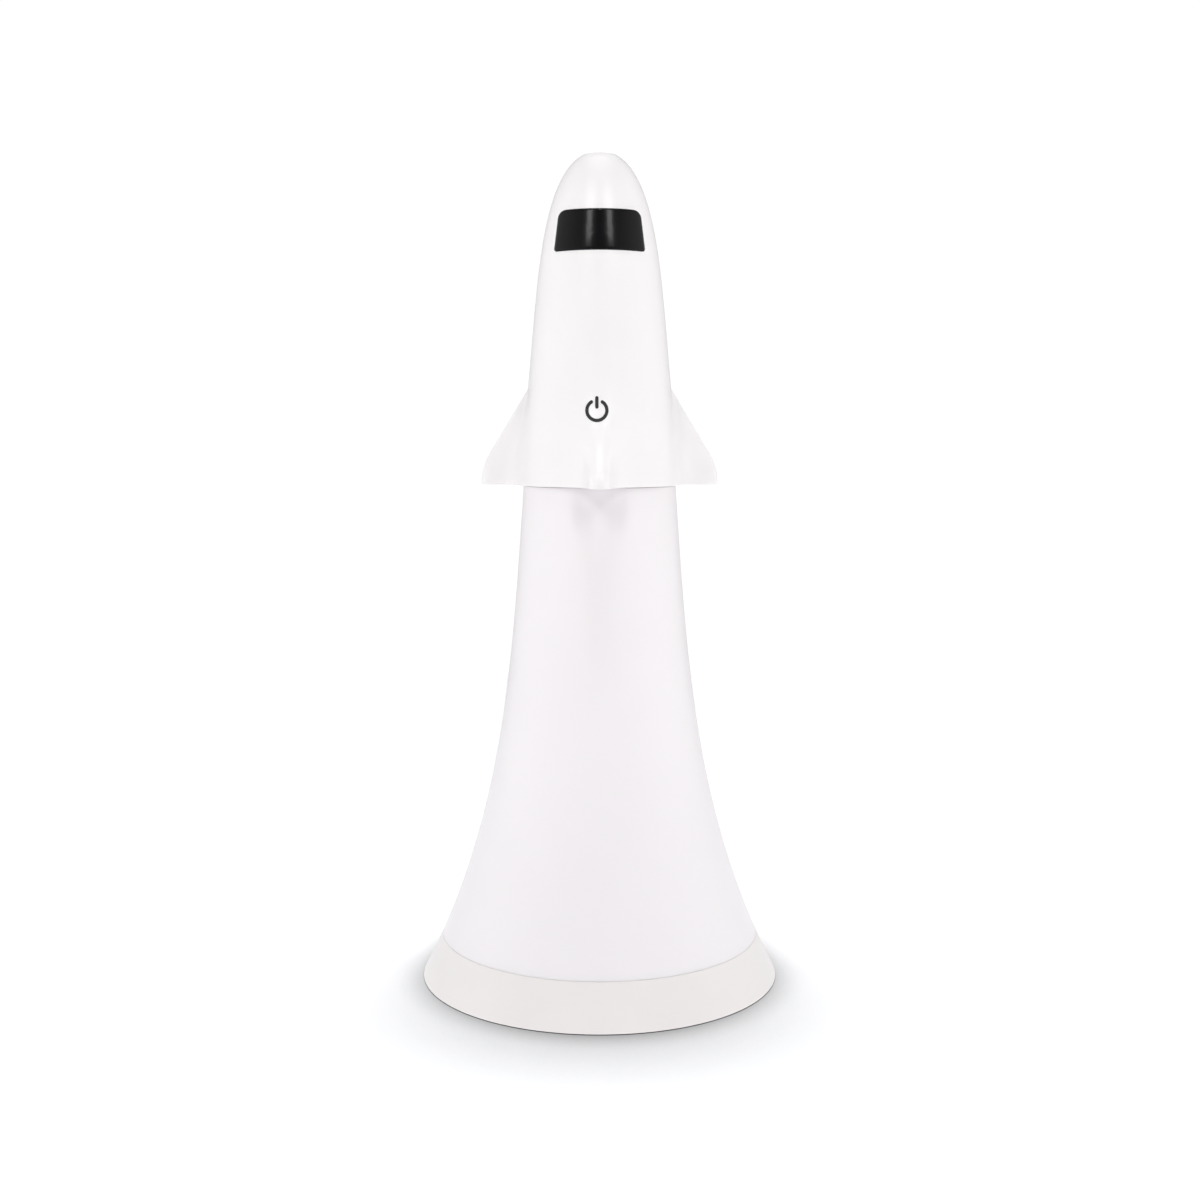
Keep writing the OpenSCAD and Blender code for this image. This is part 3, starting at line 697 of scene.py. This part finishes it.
grooves = []
for r in np.arange(36.9, 40.3, 0.85):
    grooves += [(r + 0.2, 0.0), (r + 0.3, 0.25), (r + 0.55, 0.25), (r + 0.65, 0.0)]
turned("foot_pad", [(36.1, 0, 0.3), *grooves, (40.9, 0, 0.3), (40.9, 2.4, 0.3), (36.1, 2.4, 0.3)],
       "tank", "dark_rubber", RUBBER, ["foot_ring"])
turned("base_gasket", [(36.7, 5, 0.5), (38.2, 5, 0.5), (38.2, 6.3, 0.5), (36.7, 6.3, 0.5)],
       "tank", "silicone", SILICONE, ["base_seal"])
seal_in = SEAL_GROOVE_R + 0.05
turned("neck_gasket", [
    (seal_in, PLATE_Z - 5, 0.1), (NECK_BORE_R - 0.3, PLATE_Z - 5, 0.3),
    (NECK_BORE_R - 0.05, PLATE_Z - 4.5, 0.4),
    (NECK_BORE_R - 0.35, PLATE_Z - 4.05, 0.15), (NECK_BORE_R - 0.05, PLATE_Z - 3.6, 0.4),
    (NECK_BORE_R - 0.3, PLATE_Z - 3.1, 0.3), (seal_in, PLATE_Z - 3.1, 0.1)],
    "neck_seal", "silicone", SILICONE, ["neck_seal"])


# ---------- atomizer and closure ----------

turned("mist_funnel", [
    (6.5, SEAT_Z + 7.5, 0.2), (9.6, SEAT_Z + 7.5, 0.2), (9.6, SEAT_Z + 8.6, 0.2), (8.2, SEAT_Z + 8.9, 0.6),
    (OUTLET_R + 0.6, NOSE_Z - 5.5, 1.5), (OUTLET_R + 0.66, TOTAL_H - 0.1, 0.08), (OUTLET_R, TOTAL_H, 0.3),
    (OUTLET_R, NOSE_Z - 6.2, 1.5), (6.5, SEAT_Z + 9.4, 1.0)],
    "shuttle", "white_plastic", WHITE, ["mist_nozzle"], 96)

turned("disc_holder", [
    (5.6, SEAT_Z + 1.6, 0.3), (8.9, SEAT_Z + 1.6, 0.3), (8.9, SEAT_Z + 5, 0.3), (5.6, SEAT_Z + 5, 0.3),
    (5.6, DISC_Z + 0.8, 0.15), (8.05, DISC_Z + 0.8), (8.05, DISC_Z - 0.05), (5.6, DISC_Z - 0.05, 0.15)],
    "shuttle", "silicone", SILICONE, ["disc_gasket"], 96)

turned("closure_plate", [
    (GUIDE_R, PLATE_Z, 0.2), (7.2, PLATE_Z, 0.3), (7.2, PLATE_Z - 5.8, 0.3), (8.8, PLATE_Z - 5.8, 0.3),
    (8.8, PLATE_Z, 0.3), (SPIGOT_R - 2, PLATE_Z, 0.4), (SPIGOT_R - 2, PLATE_Z - 6.7, 0.3),
    (SPIGOT_R - 0.4, PLATE_Z - 6.7, 0.3), (SPIGOT_R, PLATE_Z - 6.2, 0.3), (SPIGOT_R, PLATE_Z - 5.1, 0.1),
    (SEAL_GROOVE_R, PLATE_Z - 5.1, 0.1), (SEAL_GROOVE_R, PLATE_Z - 3, 0.1), (SPIGOT_R, PLATE_Z - 3, 0.1),
    (SPIGOT_R, PLATE_Z, 0.4), (17.7, PLATE_Z, 0.3), (17.7, PLATE_TOP_Z, 0.2), (7.6, PLATE_TOP_Z, 0.3),
    (7.6, PLATE_TOP_Z + 3, 0.2), (6.1, PLATE_TOP_Z + 3, 0.2), (6.1, PLATE_TOP_Z),
    (GUIDE_R, PLATE_TOP_Z, 0.2)],
    "shuttle", "inner_plastic", INNER, ["bottom_plate"])

peg = lathe(rounded([(0, PLATE_Z - 0.1), (1.7, PLATE_Z - 0.1),
                     (1.7, PLATE_Z + 2.1, 0.2), (0, PLATE_Z + 2.1)], 3), 32)
pegs = [moved(peg, a, RING_MID_R) for a in LED_ANGLES]
turned("light_window", [(9, PLATE_Z - 1.2, 0.25), (12.9, PLATE_Z - 1.2, 0.25), (12.9, PLATE_Z - 0.05, 0.1),
                        (9, PLATE_Z - 0.05, 0.1)],
       "shuttle", "clear_plastic", CLEAR, ["light_ring"], 144, pegs)


def wick_tube(collar):
    """Slotted tube with a closed foot and a collar."""
    foot, r_in, r_out = 14.0, GUIDE_R, GUIDE_R + 1.2
    body = lathe(rounded([
        (0, foot, 0), (r_out, foot, 0.8), (r_out, collar, 0), (7.1, collar, 0.2), (7.1, collar + 5.4, 0.4),
        (r_in, collar + 5.4, 0.3), (r_in, foot + 1.5, 0.4), (0, foot + 1.5, 0)], 5), 96)
    slots = []
    for row in range(6):
        z0 = foot + 5.5 + 16.5 * row
        outline = arc(0, z0 + 1.1, 1.1, 180, 360, 8) + arc(0, z0 + 9.9, 1.1, 0, 180, 8)
        slot = [(x, y, z) for x in (3, 8) for y, z in outline], prism_faces(len(outline))
        slots += [moved(slot, a + 45 * (row % 2)) for a in (0, 90, 180, 270)]
    return cut(clean_mesh("tube", *body), join(*slots))


def knurled_grip(collar):
    """Points and faces of the knurled ring under the tube's collar."""
    knurl = []
    for k in range(12):
        knurl += [(9.9 if abs(t) < 3 else 9.45, 30 * k + t) for t in (-15, -8, -4.5, -2.5, 2.5, 4.5, 8)]
    n = len(knurl)

    def ring(z, radius_of):
        return [(radius_of(r) * math.cos(math.radians(a)), radius_of(r) * math.sin(math.radians(a)), z)
                for r, a in knurl]

    levels = [(collar - 2.7, 0.3), (collar - 2.4, 0.0), (collar - 0.6, 0.0), (collar - 0.3, 0.3)]
    bore_r = 5.6
    verts, faces = [], []
    for z, inset in levels:
        verts += ring(z, lambda r: r - inset)
    for z in (levels[0][0], levels[-1][0]):
        verts += ring(z, lambda r: bore_r)

    def band(low, high):
        return [(low + k, low + (k + 1) % n, high + (k + 1) % n, high + k) for k in range(n)]

    top, bore = (len(levels) - 1) * n, len(levels) * n
    for i in range(len(levels) - 1):
        faces += band(i * n, (i + 1) * n)
    return verts, faces + band(0, bore) + band(top, bore + n)


COLLAR_Z = PLATE_Z - 5.7
add_piece("wick_tube_skin", wick_tube(COLLAR_Z), "wick_holder", TUBE, ["wick_tube"], 40)
make_mesh("wick_tube_grip", *knurled_grip(COLLAR_Z), "wick_holder", "tube_plastic", TUBE)


def wick():
    """Cotton rod: a bundle of twisted strands, a little uneven."""
    low, high, r = 23.5, DISC_Z - 0.05, 4.0
    rows, around, strands = 170, 72, 9
    verts, faces = [], []
    rng = np.random.default_rng(7)
    fuzz = rng.normal(0, 0.035, (rows + 1, around))
    for i in range(rows + 1):
        t = i / rows
        z = low + (high - low) * t
        end = min(1.0, min(t, 1 - t) * 60)
        for k in range(around):
            a = 2 * math.pi * k / around
            ridge = abs(math.sin(strands * a / 2 + (z - low) * 0.09))
            radius = (r - 0.32 + 0.26 * ridge + fuzz[i, k] * 0.6) * (0.93 + 0.07 * end)
            verts.append((radius * math.cos(a), radius * math.sin(a), z))
    for i in range(rows):
        for k in range(around):
            m = (k + 1) % around
            faces.append((i * around + k, i * around + m, (i + 1) * around + m, (i + 1) * around + k))
    faces.append(tuple(reversed(range(around))))
    faces.append(tuple(range(rows * around, (rows + 1) * around)))
    return verts, faces


make_mesh("wick_rod", *wick(), "wick", "cotton", COTTON, ["cotton_wick"], 60)

spring = [(x, y, z + 15.8) for x, y, z in helix(3.2, 3.2, 7.4, 5)]
make_mesh("wick_coil", *sweep(spring, 0.27), "wick_holder", "steel", STEEL, ["wick_spring"], 60)
contact = [(x, -9.1 - z, y + ICON_Z) for x, y, z in helix(2.2, 3.3, 6.35, 5)]
make_mesh("contact_coil", *sweep(contact, 0.24, side=(0, 1, 0)), "shuttle", "brass", BRASS,
          ["touch_spring"], 60)

BOARD_Z = SKIRT_Z + 14.4
leads = []
for x in (-0.9, 0.9):
    path = [(x, 9.35, SEAT_Z + 4.6), (x, 9.6, SEAT_Z + 4.2), (x, 9.7, SEAT_Z + 3), (x, 9.7, SEAT_Z - 3),
            (x, 10.2, BOARD_Z + 37), (x, 11.2, BOARD_Z + 34), (x, 11.7, BOARD_Z + 32),
            (x, 11.7, BOARD_Z + 29.05)]
    leads.append(sweep(smooth_path(path, 5), 0.39, side=(1, 0, 0)))
make_mesh("disc_leads", *join(*leads), "shuttle", "red_wire", RED, ["piezo_leads"], 60)


# ---------- CAD pieces that keep their shape ----------

KEPT = {
    "clamp_ring": (GREY, 0.15), "mesh_plate": (STEEL, 0), "piezo_ring": (CERAMIC, 0.05),
    "atomizer_carrier": (INNER, 0.15), "leds": (LED, 0.1), "led_board": (BOARD, 0.05),
    "plate_screws": (STEEL, 0.08),
    "control_board": (BOARD, 0.05), "board_screws": (STEEL, 0.08), "usb_shell": (STEEL, 0.06),
    "usb_tongue": (BLACK, 0.06), "driver_chip": (BLACK, 0.1), "boost_inductor": (FERRITE, 0.15),
    "capacitors": (TAN, 0.08), "lead_connector": (CREAM, 0.12), "sensor_board": (BOARD, 0.05),
    "touch_plate": (BRASS, 0.04), "touch_lead": (WIRE, 0), "led_leads": (WIRE, 0)}
for name, (look, bevel) in KEPT.items():
    node = NODES[name]
    node.data.materials.clear()
    node.data.materials.append(look)
    if bevel:
        m = node.modifiers.new("edge", "BEVEL")
        m.width, m.segments, m.limit_method, m.angle_limit = bevel * MM, 2, "ANGLE", math.radians(35)
        m.harden_normals = False
        m.use_clamp_overlap = True


# ---------- studio ----------

def floor():
    """A disc, finer towards the object."""
    sides = 64
    rings = [0.0, 0.03, 0.06, 0.12, 0.25, 0.5]
    verts, _ = lathe([(r / MM, 0.0) for r in rings], sides)
    n = len(rings)
    faces = [(s * n + i, ((s + 1) % sides) * n + i, ((s + 1) % sides) * n + i + 1, s * n + i + 1)
             for s in range(sides) for i in range(n - 1)]
    mesh = bpy.data.meshes.new("floor")
    mesh.from_pydata([(x * MM, y * MM, 0) for x, y, _ in verts], [], faces)
    mesh.materials.append(FLOOR)
    o = bpy.data.objects.new("studio_floor", mesh)
    bpy.context.scene.collection.objects.link(o)


floor()


def place_light(light, place, target):
    """Puts a light at a place, in metres, and aims it at a target."""
    o = bpy.data.objects.new(light.name, light)
    bpy.context.scene.collection.objects.link(o)
    o.location = place
    aim = np.array(target, float) - np.array(place, float)
    o.rotation_euler = (math.atan2(math.hypot(aim[0], aim[1]), -aim[2]), 0, math.atan2(-aim[0], aim[1]))


def softbox(name, place, target, w, h, watts):
    light = bpy.data.lights.new(name, "AREA")
    light.shape, light.size, light.size_y = "RECTANGLE", w, h
    light.energy = watts
    place_light(light, place, target)


def spotlight(name, place, target, cone, watts):
    light = bpy.data.lights.new(name, "SPOT")
    light.spot_size, light.spot_blend, light.shadow_soft_size = math.radians(cone), 1.0, 0.02
    light.energy = watts
    place_light(light, place, target)


def sky_light(name, energy, spread, tilt, colour=(1, 1, 1)):
    """A soft light from above; a positive tilt brings it from behind the object."""
    light = bpy.data.lights.new(name, "SUN")
    light.energy, light.angle, light.color = energy, math.radians(spread), colour
    tilt = math.radians(tilt)
    place_light(light, (0, math.sin(tilt), math.cos(tilt)), (0, 0, 0))


softbox("left_strip", (-0.24, -0.57, 0.64), (0, 0, 0.17), 0.12, 0.30, 1.3)
softbox("right_strip", (0.24, -0.57, 0.64), (0, 0, 0.17), 0.12, 0.30, 1.3)
spotlight("fin_light", (0, -0.09, 0.56), (0, -0.024, 0.137), 4.0, 3.0)
sky_light("overhead", 0.9, 45, 0, (0.93, 0.96, 1.0))
sky_light("back_light", 0.5, 50, 32)

ROOM_FRONT, ROOM_BACK = 0.30, 0.21      # brightness of the room in front of and behind the object
ROOM_SIDES, ROOM_CEILING = 1.27, -0.45  # what is added towards the sides and towards the ceiling
BACKDROP = 1.05                         # brightness of the backdrop, which only the camera sees


def studio_world():
    """A white room, brighter at its sides and dimmer above and behind, with a plain white backdrop."""
    world = bpy.data.worlds.new("studio")
    bpy.context.scene.world = world
    world.use_nodes = True
    tree = world.node_tree
    nodes, links = tree.nodes, tree.links
    room = nodes["Background"]
    backdrop = nodes.new("ShaderNodeBackground")
    backdrop.inputs["Color"].default_value = (1, 1, 1, 1)
    backdrop.inputs["Strength"].default_value = BACKDROP
    place = nodes.new("ShaderNodeTexCoord")
    axes = nodes.new("ShaderNodeSeparateXYZ")
    links.new(place.outputs["Generated"], axes.inputs["Vector"])

    middle, half_change = (ROOM_BACK + ROOM_FRONT) / 2, (ROOM_BACK - ROOM_FRONT) / 2
    depth = maths(tree, "MULTIPLY_ADD", axes.outputs["Y"], half_change, middle)
    across = maths(tree, "MULTIPLY", axes.outputs["X"], axes.outputs["X"])
    upwards = maths(tree, "MAXIMUM", axes.outputs["Z"], 0.0)
    strength = maths(tree, "MULTIPLY_ADD", across, ROOM_SIDES, depth)
    strength = maths(tree, "MULTIPLY_ADD", upwards, ROOM_CEILING, strength)
    links.new(strength, room.inputs["Strength"])
    room.inputs["Color"].default_value = (1, 1, 1, 1)
    path, mix = nodes.new("ShaderNodeLightPath"), nodes.new("ShaderNodeMixShader")
    links.new(path.outputs["Is Camera Ray"], mix.inputs["Fac"])
    links.new(room.outputs["Background"], mix.inputs[1])
    links.new(backdrop.outputs["Background"], mix.inputs[2])
    links.new(mix.outputs["Shader"], nodes["World Output"].inputs["Surface"])


studio_world()

CAMERA_PLACE = (0.0001, -0.3992, 0.1402)
CAMERA_DIP = 0.1079                     # radians below the horizon
LENS, SENSOR = 47.29, 36                # millimetres

camera = bpy.data.cameras.new("camera")
camera.sensor_width, camera.lens, camera.clip_start = SENSOR, LENS, 0.01
camera_object = bpy.data.objects.new("camera", camera)
bpy.context.scene.collection.objects.link(camera_object)
camera_object.location = CAMERA_PLACE
camera_object.rotation_euler = (math.pi / 2 - CAMERA_DIP, 0, 0)
bpy.context.scene.camera = camera_object
bpy.context.scene.view_settings.view_transform = "Standard"
